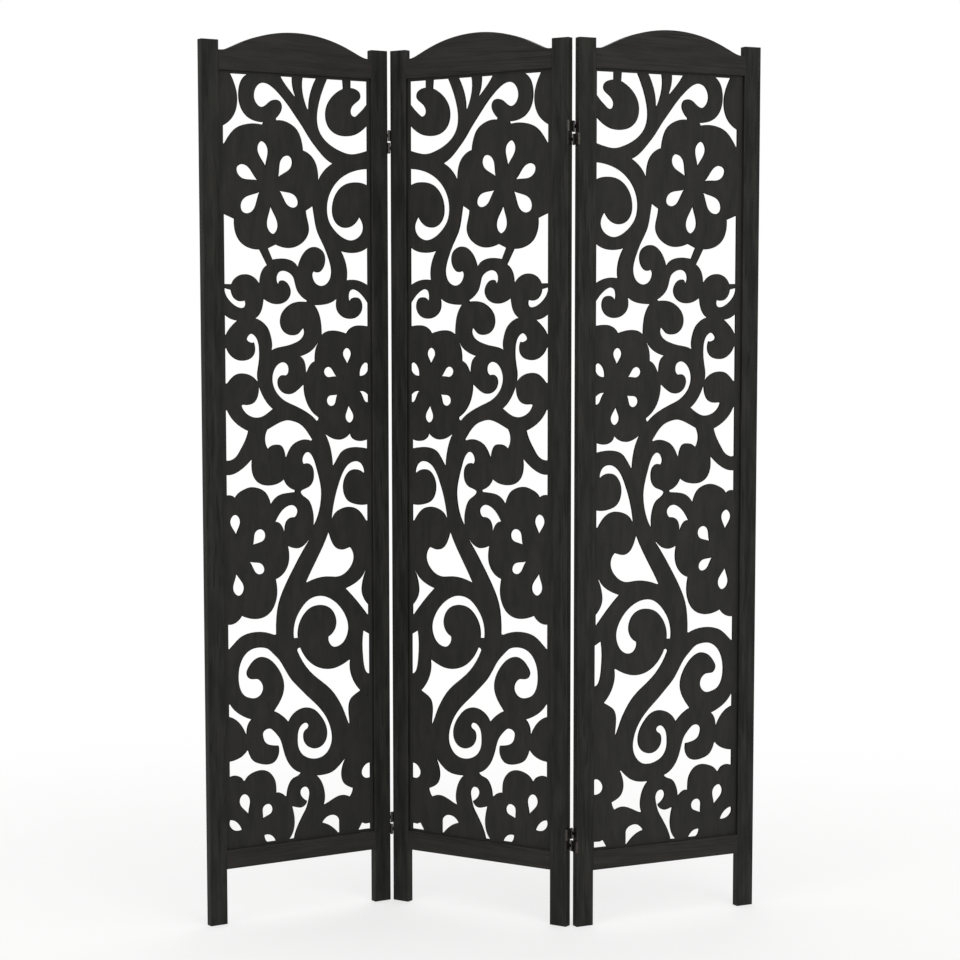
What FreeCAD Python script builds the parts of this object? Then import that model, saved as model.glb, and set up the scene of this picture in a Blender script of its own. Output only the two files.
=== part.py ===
import FreeCAD, Part
import math
import os

# A three-panel folding screen. Each panel has two stiles, an arched top rail and a straight bottom
# rail round a thin fretwork board, and double-action hinges join the panels.
# Millimetres and degrees, +Z up, +X to the viewer's right, +Y away from the viewer.

# Panel frame
panel_width = 400.0
stile_height = 1678.0
stile_width = 36.0
frame_thickness = 16.0
edge_ease = 1.0

# Bottom rail, above open legs
leg_height = 107.0
bottom_rail_height = 37.0

# Top rail: short level shoulders beside the stiles, and a camel-back arch between them
shoulder_drop = 18.0
shoulder_height = 37.0
shoulder_length = 3.0
arch_rise = 40.0
arch_hollow_radius = 50.0
arch_straight_length = 25.0

# Dowels that join the rails to the stiles, two at each joint
dowel_diameter = 6.0
dowel_length = 30.0
dowel_pitch = 15.0
dowel_chamfer = 0.8
dowel_clearance = 0.05
dowel_end_gap = 0.5

# Fretwork board and the groove that holds it
board_thickness = 4.0
board_setback = 7.0
groove_depth = 6.0
groove_clearance = 0.15
board_edge_gap = 0.4

# Plain margins of the board round its pierced window
near_margin = 5.5
far_margin = 11.1
upper_margin = 5.0
lower_margin = 4.5

# Double-action hinges, their leaves let into the stile edges
hinge_height = 45.0
half_gap = 3.0
knuckle_gap = 0.2
pin_offset = 1.7
pin_standoff = 2.0
pin_radius = 1.2
pin_proud = 0.4
pin_clearance = 0.05
barrel_radius = 2.5
barrel_clearance = 0.4
leaf_thickness = 1.3
leaf_inset = 0.5
leaf_corner = 2.0
leaf_clearance = 0.1
link_thickness = 1.6
upper_hinge_drop = 174.5
left_fold_lower_hinge = 156.5
right_fold_lower_hinge = 167.5

# Countersunk screws of the hinge leaves
screw_head_radius = 2.7
screw_shank_radius = 1.5
screw_length = 15.0
screw_tip_length = 3.0
screw_recess_width = 0.7
screw_recess_length = 3.0
screw_recess_depth = 0.6
screw_clearance = 0.05

# How the screen stands: the middle panel's turn, and each fold's angle away from flat
middle_turn = -33.3
left_fold_angle = 64.9
right_fold_angle = 59.4

# Length by which a cutting solid passes the face that it cuts
overrun = 1.0

# The pierced window is read in level bands of equal height, from the top. Places are shares of the
# window's width from its near side, and of a band's height from the top of that band.
band_count = 5

# Teardrop outline of a petal: shares of its length from the tip, and of its half width
teardrop_shares = ((0, 0), (0.33, 0.56), (0.64, 1), (0.89, 0.72), (1, 0),
                   (0.89, -0.72), (0.64, -1), (0.33, -0.56), (0, 0))

# Petals of the flowers: band, tip, crown and half width
petal_shares = (
    (0, (0.712, 0.585), (0.741, 0.419), 0.036),
    (0, (0.765, 0.670), (0.908, 0.589), 0.041),
    (0, (0.752, 0.740), (0.875, 0.869), 0.047),
    (0, (0.682, 0.823), (0.664, 1.009), 0.038),
    (0, (0.622, 0.728), (0.495, 0.822), 0.040),
    (0, (0.630, 0.648), (0.544, 0.509), 0.041),
    (1, (0.149, 0.860), (0.154, 0.749), 0.030),
    (1, (0.226, 0.936), (0.315, 0.890), 0.031),
    (2, (0.219, 0.054), (0.291, 0.117), 0.034),
    (2, (0.143, 0.121), (0.133, 0.243), 0.030),
    (2, (0.826, 1.027), (0.748, 0.934), 0.040),
    (2, (0.937, 0.956), (0.946, 0.822), 0.035),
    (3, (0.848, 0.132), (0.748, 0.206), 0.033),
    (3, (0.940, 0.199), (0.917, 0.350), 0.038),
    (4, (0.775, 0.844), (0.719, 0.752), 0.037),
    (4, (0.870, 0.803), (0.909, 0.664), 0.037),
)

# Scrolls, leaves and stars between the flowers: band, then the smooth stretches of the outline. Each
# stretch starts where the one before it ended, and a stretch with one more point is straight.
scroll_shares = (
    # Corner comma
    (0, (
        ((0, 0), (0.118, 0)),
        ((0.118, 0.048),),
        ((0.082, 0.055), (0.052, 0.080), (0.049, 0.108), (0.068, 0.133), (0.102, 0.162), (0.118, 0.200),
         (0.108, 0.227), (0.086, 0.233), (0.062, 0.217), (0.030, 0.186), (0, 0.150)),
        ((0, 0),),
    )),
    # Upper crook
    (0, (
        ((0.172, 0), (0.284, 0)),
        ((0.318, 0.080), (0.344, 0.165), (0.356, 0.245), (0.340, 0.340), (0.262, 0.426), (0.200, 0.458),
         (0.125, 0.478), (0.060, 0.470), (0, 0.452)),
        ((0, 0.286),),
        ((0.040, 0.323), (0.090, 0.352), (0.160, 0.363), (0.225, 0.349), (0.272, 0.308), (0.293, 0.245),
         (0.288, 0.185), (0.258, 0.126), (0.215, 0.083), (0.168, 0.055)),
        ((0.172, 0),),
    )),
    # First blade
    (0, (
        ((0.358, 0), (0.454, 0)),
        ((0.459, 0.050), (0.450, 0.122), (0.424, 0.200)),
        ((0.412, 0.200),),
        ((0.409, 0.150), (0.396, 0.090), (0.358, 0)),
    )),
    # Second blade
    (0, (
        ((0.525, 0), (0.607, 0)),
        ((0.590, 0.028), (0.548, 0.082), (0.512, 0.123)),
        ((0.504, 0.118),),
        ((0.521, 0.062), (0.525, 0)),
    )),
    # Long leaf
    (0, (
        ((0.246, 0.543), (0.295, 0.512), (0.350, 0.455), (0.400, 0.394), (0.450, 0.319), (0.500, 0.250),
         (0.550, 0.183), (0.600, 0.125), (0.650, 0.078), (0.690, 0.053), (0.722, 0.047), (0.758, 0.060),
         (0.783, 0.097), (0.789, 0.135), (0.775, 0.177), (0.745, 0.200), (0.715, 0.193), (0.680, 0.164),
         (0.645, 0.150), (0.612, 0.160), (0.599, 0.190), (0.608, 0.228), (0.641, 0.270)),
        ((0.638, 0.281),),
        ((0.595, 0.281), (0.545, 0.298), (0.500, 0.331), (0.471, 0.385), (0.455, 0.467)),
        ((0.412, 0.488), (0.375, 0.530), (0.355, 0.588), (0.350, 0.652)),
        ((0.343, 0.650),),
        ((0.312, 0.600), (0.246, 0.543)),
    )),
    # Hourglass
    (0, (
        ((0.834, 0), (0.948, 0)),
        ((0.921, 0.060), (0.904, 0.125), (0.905, 0.200), (0.930, 0.268), (0.960, 0.303), (1, 0.331)),
        ((1, 0.443),),
        ((0.990, 0.443),),
        ((0.955, 0.388), (0.912, 0.343), (0.865, 0.320), (0.800, 0.308), (0.733, 0.314)),
        ((0.725, 0.298),),
        ((0.785, 0.290), (0.835, 0.265), (0.872, 0.218), (0.889, 0.160), (0.889, 0.100), (0.874, 0.045),
         (0.834, 0)),
    )),
    # Left crook
    (0, (
        ((0, 0.571), (0.060, 0.579), (0.130, 0.601), (0.200, 0.645), (0.253, 0.708), (0.283, 0.780),
         (0.290, 0.850), (0.275, 0.922), (0.235, 0.980), (0.180, 1.024), (0.122, 1.041), (0.072, 1.026),
         (0.040, 0.993), (0.030, 0.950), (0.038, 0.918), (0.059, 0.884)),
        ((0.082, 0.922), (0.115, 0.949), (0.160, 0.960), (0.205, 0.945), (0.238, 0.905), (0.250, 0.850),
         (0.240, 0.780), (0.205, 0.715), (0.150, 0.673), (0.085, 0.660), (0.040, 0.664), (0, 0.680)),
        ((0, 0.571),),
    )),
    # Stem and curl
    (1, (
        ((0.388, -0.178), (0.375, -0.095), (0.355, -0.010), (0.315, 0.070), (0.285, 0.140), (0.264, 0.205),
         (0.260, 0.265), (0.280, 0.315), (0.326, 0.341), (0.370, 0.328), (0.393, 0.290), (0.395, 0.263),
         (0.382, 0.246)),
        ((0.348, 0.252), (0.318, 0.222), (0.305, 0.175), (0.315, 0.125), (0.342, 0.099), (0.385, 0.088),
         (0.430, 0.107), (0.466, 0.150), (0.492, 0.216)),
        ((0.500, 0.216),),
        ((0.520, 0.192), (0.560, 0.172), (0.610, 0.166), (0.673, 0.174)),
        ((0.703, 0.103),),
        ((0.648, 0.077),),
        ((0.600, 0.094), (0.545, 0.098), (0.480, 0.074), (0.435, 0.030), (0.418, -0.018), (0.425, -0.075),
         (0.438, -0.145)),
        ((0.388, -0.178),),
    )),
    # Right block
    (1, (
        ((0.928, -0.082), (1, -0.112)),
        ((1, 0.334),),
        ((0.950, 0.334),),
        ((0.932, 0.303), (0.900, 0.279), (0.855, 0.270), (0.812, 0.282), (0.784, 0.303), (0.768, 0.325)),
        ((0.759, 0.322),),
        ((0.750, 0.268), (0.735, 0.237), (0.707, 0.210)),
        ((0.758, 0.112),),
        ((0.800, 0.109), (0.850, 0.092), (0.895, 0.055), (0.921, 0.000), (0.928, -0.082)),
    )),
    # Left quad
    (1, (
        ((0, 0.084), (0.050, 0.113), (0.110, 0.124), (0.193, 0.111)),
        ((0.165, 0.170), (0.150, 0.240), (0.153, 0.303)),
        ((0.090, 0.300), (0.045, 0.312), (0.010, 0.330)),
        ((0, 0.330),),
        ((0, 0.084),),
    )),
    # Left comma
    (1, (
        ((0, 0.450), (0.030, 0.410), (0.065, 0.378), (0.102, 0.363), (0.127, 0.371), (0.138, 0.397),
         (0.135, 0.438)),
        ((0.128, 0.438),),
        ((0.090, 0.415), (0.060, 0.425), (0.043, 0.460), (0.046, 0.500), (0.075, 0.540), (0.130, 0.557),
         (0.185, 0.540), (0.220, 0.498), (0.226, 0.460), (0.222, 0.428)),
        ((0.232, 0.430),),
        ((0.270, 0.452), (0.310, 0.463), (0.381, 0.468)),
        ((0.355, 0.512), (0.339, 0.570), (0.333, 0.658)),
        ((0.323, 0.657),),
        ((0.290, 0.638), (0.245, 0.633), (0.200, 0.640), (0.155, 0.654)),
        ((0.130, 0.622), (0.092, 0.603), (0.050, 0.600), (0, 0.606)),
        ((0, 0.450),),
    )),
    # Middle curls
    (1, (
        ((0.431, 0.438), (0.470, 0.410), (0.500, 0.370), (0.514, 0.325), (0.528, 0.282), (0.558, 0.256),
         (0.600, 0.246), (0.630, 0.257), (0.644, 0.285), (0.638, 0.327)),
        ((0.628, 0.329),),
        ((0.616, 0.309), (0.588, 0.312), (0.560, 0.340), (0.548, 0.380), (0.560, 0.420), (0.592, 0.450),
         (0.640, 0.462), (0.690, 0.452), (0.735, 0.424)),
        ((0.742, 0.470), (0.760, 0.520), (0.792, 0.553)),
        ((0.740, 0.580), (0.706, 0.620), (0.688, 0.670), (0.680, 0.715), (0.684, 0.759)),
        ((0.674, 0.757),),
        ((0.640, 0.743), (0.580, 0.732), (0.520, 0.714), (0.477, 0.690), (0.456, 0.660), (0.461, 0.614)),
        ((0.475, 0.630), (0.498, 0.654), (0.534, 0.664), (0.573, 0.655), (0.606, 0.625), (0.620, 0.578),
         (0.610, 0.526), (0.580, 0.486), (0.540, 0.458), (0.500, 0.446), (0.437, 0.447)),
        ((0.431, 0.438),),
    )),
    # Small comma
    (1, (
        ((0.955, 0.372), (1, 0.360)),
        ((1, 0.375), (0.976, 0.430), (0.940, 0.465), (0.892, 0.486), (0.863, 0.479), (0.857, 0.455),
         (0.862, 0.438)),
        ((0.895, 0.444), (0.925, 0.432), (0.946, 0.405), (0.955, 0.372)),
    )),
    # Edge thorn
    (1, (
        ((1, 0.528), (0.960, 0.556), (0.915, 0.568)),
        ((0.950, 0.600), (0.975, 0.630), (0.990, 0.657)),
        ((1, 0.657),),
        ((1, 0.528),),
    )),
    # Right hook
    (1, (
        ((0.777, 0.958), (0.780, 0.905), (0.768, 0.830), (0.765, 0.765), (0.772, 0.708), (0.793, 0.668),
         (0.822, 0.653), (0.846, 0.670), (0.852, 0.690), (0.838, 0.704), (0.805, 0.708)),
        ((0.797, 0.740), (0.802, 0.780), (0.822, 0.807), (0.862, 0.824), (0.905, 0.824), (0.945, 0.805),
         (0.973, 0.776), (0.988, 0.746)),
        ((1, 0.746),),
        ((1, 0.970),),
        ((0.985, 0.970),),
        ((0.958, 0.938), (0.925, 0.914), (0.872, 0.908), (0.824, 0.924), (0.786, 0.958)),
        ((0.777, 0.958),),
    )),
    # Small star
    (1, (
        ((0.364, 0.715), (0.395, 0.755), (0.440, 0.785), (0.484, 0.801)),
        ((0.457, 0.833), (0.448, 0.868), (0.445, 0.904)),
        ((0.436, 0.904),),
        ((0.421, 0.872), (0.403, 0.848), (0.380, 0.834)),
        ((0.379, 0.795), (0.371, 0.750), (0.357, 0.718)),
        ((0.364, 0.715),),
    )),
    # Middle hook
    (2, (
        ((0.459, -0.010), (0.457, 0.030), (0.446, 0.080), (0.426, 0.128), (0.396, 0.170), (0.356, 0.203)),
        ((0.359, 0.220), (0.373, 0.226)),
        ((0.410, 0.189), (0.470, 0.150), (0.530, 0.120), (0.590, 0.092), (0.640, 0.050), (0.668, 0.005),
         (0.680, -0.055), (0.670, -0.105), (0.640, -0.148), (0.603, -0.161), (0.574, -0.148),
         (0.563, -0.115), (0.571, -0.085), (0.590, -0.075)),
        ((0.617, -0.075), (0.636, -0.055), (0.640, -0.020), (0.622, 0.020), (0.592, 0.042), (0.558, 0.047),
         (0.512, 0.027), (0.467, -0.012)),
        ((0.459, -0.010),),
    )),
    # Boat
    (2, (
        ((0.766, 0.003), (0.747, 0.048), (0.712, 0.104), (0.675, 0.141)),
        ((0.715, 0.171), (0.755, 0.191), (0.800, 0.194), (0.845, 0.178), (0.876, 0.150), (0.893, 0.114)),
        ((0.880, 0.109),),
        ((0.840, 0.111), (0.806, 0.096), (0.783, 0.060), (0.774, 0.003)),
        ((0.766, 0.003),),
    )),
    # Right sail
    (2, (
        ((0.988, 0.144), (0.950, 0.206), (0.900, 0.251), (0.846, 0.281)),
        ((0.866, 0.340), (0.900, 0.402), (0.930, 0.445), (0.962, 0.465), (1, 0.466)),
        ((1, 0.144),),
        ((0.988, 0.144),),
    )),
    # Mushroom
    (2, (
        ((0.401, 0.348), (0.440, 0.290), (0.480, 0.249), (0.530, 0.226), (0.582, 0.218), (0.622, 0.227),
         (0.718, 0.275)),
        ((0.732, 0.312), (0.732, 0.360), (0.717, 0.398)),
        ((0.708, 0.397),),
        ((0.685, 0.380), (0.655, 0.374), (0.625, 0.380), (0.606, 0.405), (0.594, 0.456)),
        ((0.584, 0.456),),
        ((0.570, 0.424), (0.540, 0.381), (0.500, 0.356), (0.455, 0.346), (0.410, 0.357)),
        ((0.401, 0.348),),
    )),
    # Left branch
    (2, (
        ((0.008, 0.356), (0.050, 0.368), (0.095, 0.361), (0.120, 0.342), (0.130, 0.319)),
        ((0.140, 0.319),),
        ((0.173, 0.345), (0.215, 0.355), (0.265, 0.342), (0.316, 0.307)),
        ((0.290, 0.362), (0.270, 0.435), (0.260, 0.524)),
        ((0.250, 0.522),),
        ((0.219, 0.470), (0.187, 0.431), (0.140, 0.411), (0.085, 0.407), (0.008, 0.419)),
        ((0.008, 0.356),),
    )),
    # Left bow
    (2, (
        ((0.030, 0.577), (0.036, 0.545), (0.057, 0.514), (0.100, 0.502), (0.142, 0.516), (0.175, 0.550),
         (0.210, 0.622), (0.240, 0.712), (0.260, 0.800), (0.270, 0.871)),
        ((0.260, 0.871),),
        ((0.238, 0.838), (0.200, 0.815), (0.140, 0.804), (0.092, 0.818), (0.052, 0.855), (0.022, 0.902)),
        ((0.008, 0.902),),
        ((0.008, 0.792),),
        ((0.045, 0.796), (0.095, 0.789), (0.150, 0.762), (0.177, 0.715), (0.183, 0.655), (0.165, 0.598),
         (0.132, 0.563), (0.095, 0.555), (0.062, 0.564), (0.037, 0.584)),
        ((0.030, 0.577),),
    )),
    # Middle bow
    (2, (
        ((0.464, 0.510), (0.475, 0.485), (0.468, 0.453), (0.450, 0.433), (0.430, 0.431), (0.405, 0.452),
         (0.380, 0.510), (0.355, 0.600), (0.340, 0.690), (0.345, 0.770), (0.360, 0.838), (0.392, 0.912)),
        ((0.400, 0.912),),
        ((0.399, 0.860), (0.409, 0.800), (0.438, 0.742), (0.480, 0.708), (0.488, 0.690), (0.474, 0.677),
         (0.432, 0.660), (0.403, 0.625), (0.395, 0.580), (0.402, 0.535), (0.425, 0.508), (0.464, 0.510)),
    )),
    # Right branch
    (2, (
        ((0.823, 0.469), (0.825, 0.520), (0.815, 0.570), (0.790, 0.610), (0.748, 0.635), (0.700, 0.640),
         (0.650, 0.630), (0.604, 0.601)),
        ((0.580, 0.644), (0.526, 0.678)),
        ((0.528, 0.690),),
        ((0.590, 0.695), (0.640, 0.708), (0.670, 0.730), (0.690, 0.757)),
        ((0.700, 0.757),),
        ((0.711, 0.722), (0.736, 0.682), (0.780, 0.655), (0.830, 0.646), (0.880, 0.660), (0.920, 0.684),
         (0.942, 0.713)),
        ((0.962, 0.697), (1, 0.694)),
        ((1, 0.562),),
        ((0.950, 0.556), (0.905, 0.533), (0.865, 0.502), (0.832, 0.469)),
        ((0.823, 0.469),),
    )),
    # Bud
    (2, (
        ((0.530, 0.856), (0.514, 0.837), (0.510, 0.810), (0.526, 0.785), (0.558, 0.775), (0.595, 0.787),
         (0.635, 0.824), (0.668, 0.879)),
        ((0.640, 0.888), (0.623, 0.908), (0.607, 0.944)),
        ((0.600, 0.944),),
        ((0.596, 0.900), (0.580, 0.871), (0.555, 0.857), (0.530, 0.856)),
    )),
    # Big leaf
    (3, (
        ((0.296, -0.030), (0.340, 0.068), (0.400, 0.180), (0.457, 0.291)),
        ((0.443, 0.291),),
        ((0.400, 0.275), (0.350, 0.264), (0.290, 0.262), (0.232, 0.267), (0.190, 0.257), (0.150, 0.228),
         (0.120, 0.185), (0.110, 0.145), (0.118, 0.102), (0.139, 0.073)),
        ((0.168, 0.083), (0.200, 0.088), (0.235, 0.075), (0.260, 0.045), (0.288, -0.030)),
        ((0.296, -0.030),),
    )),
    # Right stalk
    (3, (
        ((0.438, 0.012), (0.470, 0.045), (0.510, 0.062), (0.545, 0.058), (0.581, 0.041)),
        ((0.574, 0.090), (0.577, 0.150), (0.601, 0.206), (0.668, 0.257)),
        ((0.660, 0.310), (0.660, 0.360), (0.675, 0.420), (0.705, 0.470), (0.747, 0.500), (0.797, 0.511),
         (0.850, 0.505), (0.904, 0.483)),
        ((0.925, 0.509), (0.950, 0.527), (1, 0.535)),
        ((1, 0.695),),
        ((0.988, 0.695),),
        ((0.950, 0.656), (0.905, 0.620), (0.850, 0.601), (0.790, 0.597), (0.730, 0.606), (0.682, 0.625)),
        ((0.665, 0.623),),
        ((0.665, 0.560), (0.661, 0.500), (0.650, 0.432), (0.630, 0.370), (0.600, 0.304), (0.550, 0.211),
         (0.500, 0.124), (0.430, 0.015)),
        ((0.438, 0.012),),
    )),
    # Edge star
    (3, (
        ((0.032, 0.238), (0.062, 0.285), (0.103, 0.317), (0.173, 0.349)),
        ((0.122, 0.403), (0.070, 0.465), (0.016, 0.535)),
        ((0.006, 0.535),),
        ((0.006, 0.469),),
        ((0.035, 0.430), (0.052, 0.380), (0.050, 0.330), (0.040, 0.285), (0.024, 0.242)),
        ((0.032, 0.238),),
    )),
    # Edge bar
    (3, (
        ((0, 0.669), (0.046, 0.641)),
        ((0.054, 0.740), (0.050, 0.820), (0.040, 0.890), (0.018, 0.932), (0, 0.937)),
        ((0, 0.669),),
    )),
    # Ring
    (3, (
        ((0.545, 0.657), (0.546, 0.600), (0.530, 0.530), (0.490, 0.460), (0.432, 0.405), (0.370, 0.388),
         (0.300, 0.402), (0.230, 0.450), (0.175, 0.525), (0.152, 0.600), (0.160, 0.663), (0.188, 0.711),
         (0.225, 0.734), (0.267, 0.733), (0.292, 0.708), (0.298, 0.663)),
        ((0.263, 0.634), (0.243, 0.585), (0.248, 0.533), (0.277, 0.482), (0.320, 0.455), (0.365, 0.449),
         (0.420, 0.462), (0.470, 0.505), (0.503, 0.565), (0.513, 0.657)),
        ((0.545, 0.657),),
    )),
    # Lower leaf
    (3, (
        ((0.496, 0.725), (0.515, 0.726), (0.523, 0.739)),
        ((0.480, 0.824), (0.430, 0.890), (0.370, 0.945), (0.310, 0.995), (0.260, 1.050), (0.225, 1.105),
         (0.200, 1.153), (0.176, 1.215), (0.157, 1.264)),
        ((0.147, 1.264),),
        ((0.153, 1.190), (0.152, 1.140), (0.140, 1.103), (0.108, 1.073), (0.067, 1.048)),
        ((0.104, 1.000), (0.130, 0.945), (0.142, 0.890), (0.140, 0.833)),
        ((0.152, 0.833),),
        ((0.200, 0.860), (0.250, 0.878), (0.310, 0.882), (0.370, 0.867), (0.430, 0.826), (0.468, 0.780),
         (0.496, 0.725)),
    )),
    # Great scroll
    (3, (
        ((0.688, 1.130), (0.655, 1.083), (0.626, 1.025), (0.617, 0.960), (0.634, 0.892), (0.670, 0.830),
         (0.722, 0.780), (0.772, 0.764), (0.822, 0.783), (0.855, 0.820), (0.873, 0.870), (0.852, 0.902),
         (0.803, 0.908), (0.770, 0.935), (0.760, 0.973), (0.777, 1.014), (0.812, 1.033), (0.855, 1.027),
         (0.893, 1.008), (0.920, 0.966), (0.932, 0.905), (0.929, 0.838), (0.908, 0.772), (0.870, 0.725),
         (0.822, 0.703), (0.770, 0.702), (0.722, 0.717), (0.690, 0.746), (0.645, 0.795), (0.600, 0.870),
         (0.555, 0.940), (0.500, 0.999), (0.450, 1.052), (0.400, 1.100), (0.346, 1.160), (0.305, 1.226),
         (0.280, 1.300), (0.275, 1.360), (0.290, 1.415), (0.330, 1.462), (0.384, 1.479), (0.440, 1.470),
         (0.490, 1.440), (0.518, 1.392), (0.524, 1.325), (0.515, 1.270), (0.494, 1.240), (0.464, 1.230),
         (0.444, 1.246), (0.446, 1.264), (0.468, 1.282), (0.480, 1.315), (0.473, 1.357), (0.445, 1.393),
         (0.400, 1.409), (0.355, 1.397), (0.323, 1.360), (0.313, 1.310), (0.325, 1.250), (0.360, 1.190),
         (0.410, 1.142), (0.460, 1.128), (0.503, 1.135), (0.545, 1.159), (0.582, 1.208)),
        ((0.591, 1.208),),
        ((0.622, 1.174), (0.652, 1.150), (0.688, 1.130)),
    )),
    # Right thorn
    (4, (
        ((0.990, 0.059), (0.950, 0.110), (0.905, 0.144), (0.844, 0.173)),
        ((0.865, 0.200), (0.875, 0.230), (0.878, 0.265)),
        ((0.886, 0.262),),
        ((0.912, 0.210), (0.950, 0.166), (1, 0.139)),
        ((1, 0.059),),
        ((0.990, 0.059),),
    )),
    # Lower branch
    (4, (
        ((0.659, 0.364), (0.720, 0.352), (0.750, 0.333), (0.766, 0.295), (0.765, 0.265), (0.744, 0.247),
         (0.714, 0.246), (0.685, 0.268), (0.645, 0.320), (0.620, 0.400), (0.596, 0.470), (0.560, 0.524),
         (0.501, 0.563)),
        ((0.512, 0.576), (0.556, 0.596), (0.584, 0.632), (0.597, 0.670), (0.602, 0.709)),
        ((0.612, 0.709),),
        ((0.635, 0.688), (0.655, 0.679), (0.677, 0.681)),
        ((0.678, 0.640), (0.685, 0.595), (0.706, 0.555), (0.740, 0.525), (0.778, 0.516), (0.822, 0.522),
         (0.862, 0.540), (0.892, 0.574)),
        ((0.904, 0.574),),
        ((0.925, 0.546), (0.958, 0.533), (1, 0.541)),
        ((1, 0.436),),
        ((0.955, 0.428), (0.912, 0.408), (0.879, 0.375)),
        ((0.868, 0.377),),
        ((0.855, 0.415), (0.832, 0.449), (0.790, 0.472), (0.740, 0.482), (0.695, 0.473), (0.667, 0.442),
         (0.656, 0.405), (0.659, 0.364)),
    )),
    # Left star
    (4, (
        ((0.191, 0.504), (0.230, 0.545), (0.275, 0.578), (0.320, 0.591), (0.389, 0.593)),
        ((0.356, 0.638), (0.338, 0.690), (0.332, 0.740), (0.342, 0.797)),
        ((0.330, 0.796),),
        ((0.270, 0.767), (0.215, 0.748), (0.178, 0.751), (0.148, 0.765)),
        ((0.135, 0.745), (0.125, 0.710)),
        ((0.160, 0.693), (0.190, 0.668), (0.206, 0.630), (0.207, 0.580), (0.183, 0.507)),
        ((0.191, 0.504),),
    )),
    # Bud on a stem
    (4, (
        ((0.460, 0.756), (0.472, 0.780), (0.500, 0.796), (0.530, 0.793), (0.566, 0.782)),
        ((0.555, 0.830), (0.550, 0.890), (0.560, 0.950), (0.590, 1)),
        ((0.552, 1),),
        ((0.525, 0.920), (0.490, 0.855), (0.460, 0.800), (0.445, 0.745), (0.440, 0.700), (0.454, 0.669),
         (0.480, 0.660), (0.503, 0.675), (0.507, 0.700), (0.494, 0.728), (0.460, 0.756)),
    )),
    # Corner fleck
    (4, (
        ((0, 0.960), (0.040, 0.962)),
        ((0.064, 0.952),),
        ((0.092, 1),),
        ((0, 1),),
        ((0, 0.960),),
    )),
    # Quarter leaf
    (4, (
        ((0.226, 1), (0.226, 0.930)),
        ((0.235, 0.896), (0.260, 0.878), (0.290, 0.873), (0.326, 0.886), (0.353, 0.918)),
        ((0.305, 0.937), (0.268, 0.966), (0.237, 1)),
        ((0.226, 1),),
    )),
    # Half petal
    (4, (
        ((0, 0.549), (0.020, 0.548), (0.050, 0.570), (0.064, 0.605), (0.053, 0.635), (0.025, 0.650),
         (0, 0.648)),
        ((0, 0.549),),
    )),
    # Upper edge petal
    (1, (
        ((0.063, 0.933), (0.060, 0.895), (0.043, 0.861), (0.018, 0.846), (0, 0.857)),
        ((0, 0.895),),
        ((0.012, 0.917), (0.035, 0.931), (0.063, 0.933)),
    )),
    # Lower edge petal
    (2, (
        ((0.064, 0.037), (0.030, 0.039), (0, 0.060)),
        ((0, 0.108),),
        ((0.018, 0.108), (0.040, 0.076), (0.064, 0.037)),
    )),
    # Right edge petal
    (4, (
        ((0.917, 0.898), (0.935, 0.862), (0.960, 0.838), (1, 0.823)),
        ((1, 0.865), (0.978, 0.890), (0.950, 0.901), (0.917, 0.898)),
    )),
    # Bottom edge petal
    (4, (
        ((0.682, 1), (0.700, 0.970), (0.730, 0.952), (0.763, 0.951)),
        ((0.760, 0.975), (0.743, 1)),
        ((0.682, 1),),
    )),
)

# Most points along one edge of the fretwork's curves
edge_point_count = 6

# An edge counts as parallel to an axis from this share of full alignment
parallel_share = 0.999

# Levels and lengths worked out from the driving dimensions
rail_start = stile_width
rail_end = panel_width - stile_width
bottom_rail_top = leg_height + bottom_rail_height
shoulder_level = stile_height - shoulder_drop
top_rail_bottom = shoulder_level - shoulder_height
crest_level = shoulder_level + arch_rise
middle_depth = frame_thickness / 2

groove_front = board_setback - groove_clearance
groove_back = board_setback + board_thickness + groove_clearance
groove_low = bottom_rail_top - groove_depth
groove_high = top_rail_bottom + groove_depth

window_near = stile_width + near_margin
window_width = rail_end - far_margin - window_near
window_top = top_rail_bottom - upper_margin
window_height = window_top - bottom_rail_top - lower_margin
band_height = window_height / band_count

half_height = (hinge_height - half_gap) / 2
knuckle_pitch = half_height / 3
front_axis = -pin_standoff
back_axis = frame_thickness + pin_standoff
screw_head_height = screw_head_radius - screw_shank_radius

# Dowels sit in the middle of the solid wood beside the grooves
bottom_joint_level = (leg_height + groove_low) / 2
top_joint_level = (groove_high + shoulder_level) / 2
dowel_levels = [joint_level + step * dowel_pitch / 2
                for joint_level in (bottom_joint_level, top_joint_level)
                for step in (-1, 1)]

upper_hinge_level = stile_height - upper_hinge_drop
fold_hinges = {
    "left_fold": {"upper": upper_hinge_level, "lower": left_fold_lower_hinge},
    "right_fold": {"upper": upper_hinge_level, "lower": right_fold_lower_hinge},
}

origin = FreeCAD.Vector(0, 0, 0)
along_x = FreeCAD.Vector(1, 0, 0)
along_y = FreeCAD.Vector(0, 1, 0)
along_z = FreeCAD.Vector(0, 0, 1)


# Small helpers

def block(x_low, x_high, y_low, y_high, z_low, z_high):
    corner = FreeCAD.Vector(x_low, y_low, z_low)
    return Part.makeBox(x_high - x_low, y_high - y_low, z_high - z_low, corner)


def spun(outline):
    points = [FreeCAD.Vector(radius, 0, depth) for radius, depth in outline]
    return Part.Face(Part.makePolygon(points)).revolve(origin, along_z, 360)


def turned(shape, centre, axis, angle):
    copy = shape.copy()
    copy.rotate(centre, axis, angle)
    return copy


def placed(shape, place):
    copy = shape.copy()
    copy.Placement = place.multiply(shape.Placement)
    return copy


def shift(x, y, z):
    return FreeCAD.Placement(FreeCAD.Vector(x, y, z), FreeCAD.Rotation())


def runs_along(edge, axis):
    return abs(edge.tangentAt(edge.FirstParameter).dot(axis)) > parallel_share


def far_side(shape):
    centre = FreeCAD.Vector(panel_width / 2, middle_depth, 0)
    return shape.mirror(centre, along_x)


# Dowels of the frame joints

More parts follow.
